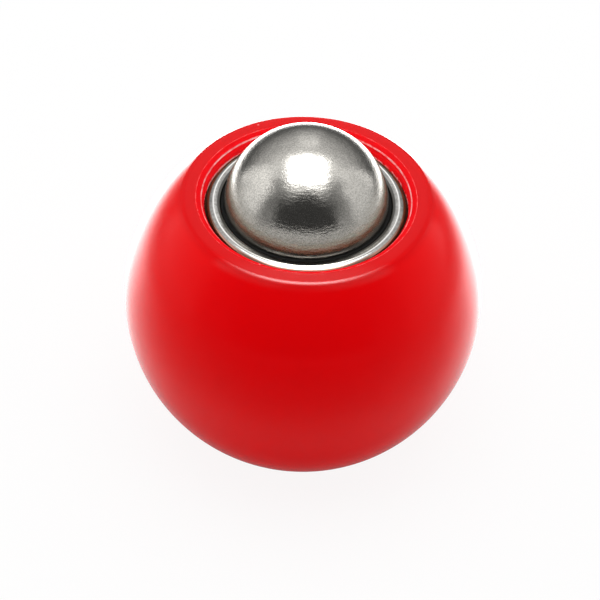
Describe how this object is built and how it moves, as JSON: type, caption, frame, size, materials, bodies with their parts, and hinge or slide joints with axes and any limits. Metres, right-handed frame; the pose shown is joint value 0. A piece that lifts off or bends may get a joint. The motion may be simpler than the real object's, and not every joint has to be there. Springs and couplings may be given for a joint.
{
  "type": "ball transfer unit",
  "caption": "Ball transfer unit: a steel ball turns freely in a pressed cup on rows of small support balls, set in a moulded plastic ball with a flat foot and threaded insert.",
  "frame": {"origin": "centre of the flat that the moulded ball stands on", "axes": "+Z along the unit's axis of symmetry, towards the load ball; the unit is round, so +X is free"},
  "size_m": [0.05, 0.05, 0.0493],
  "materials": {
    "red_plastic": "moulded, satin gloss",
    "insert_brass": "turned",
    "cup_steel": "pressed sheet, bright",
    "raceway_steel": "hardened, ground",
    "wiper_black": "plain",
    "ball_steel": "finely ground, satin",
    "support_steel": "polished"
  },
  "bodies": {
    "housing": {"moulded_ball": "red_plastic", "threaded_insert": "insert_brass", "pressed_cup": "cup_steel", "raceway_bowl": "raceway_steel", "guard_washer": "raceway_steel", "wiper_ring": "wiper_black"},
    "support_balls": {"support_ball_bottom": "support_steel", "support_row_1": "support_steel", "support_row_2": "support_steel", "support_row_3": "support_steel", "support_row_4": "support_steel", "support_row_5": "support_steel", "support_row_6": "support_steel", "support_row_7": "support_steel", "support_row_8": "support_steel", "support_row_9": "support_steel", "support_row_10": "support_steel"},
    "load_ball": {"load_ball": "ball_steel"}
  },
  "joints": [
    {"name": "support_ball_orbit", "type": "hinge", "parent": "housing", "child": "support_balls", "pos_m": [0, 0, 0.03822], "axis": [0, 0, 1], "continuous": true},
    {"name": "load_ball_roll", "type": "hinge", "parent": "support_balls", "child": "load_ball", "pos_m": [0, 0, 0.03822], "axis": [1, 0, 0], "continuous": true}
  ]
}
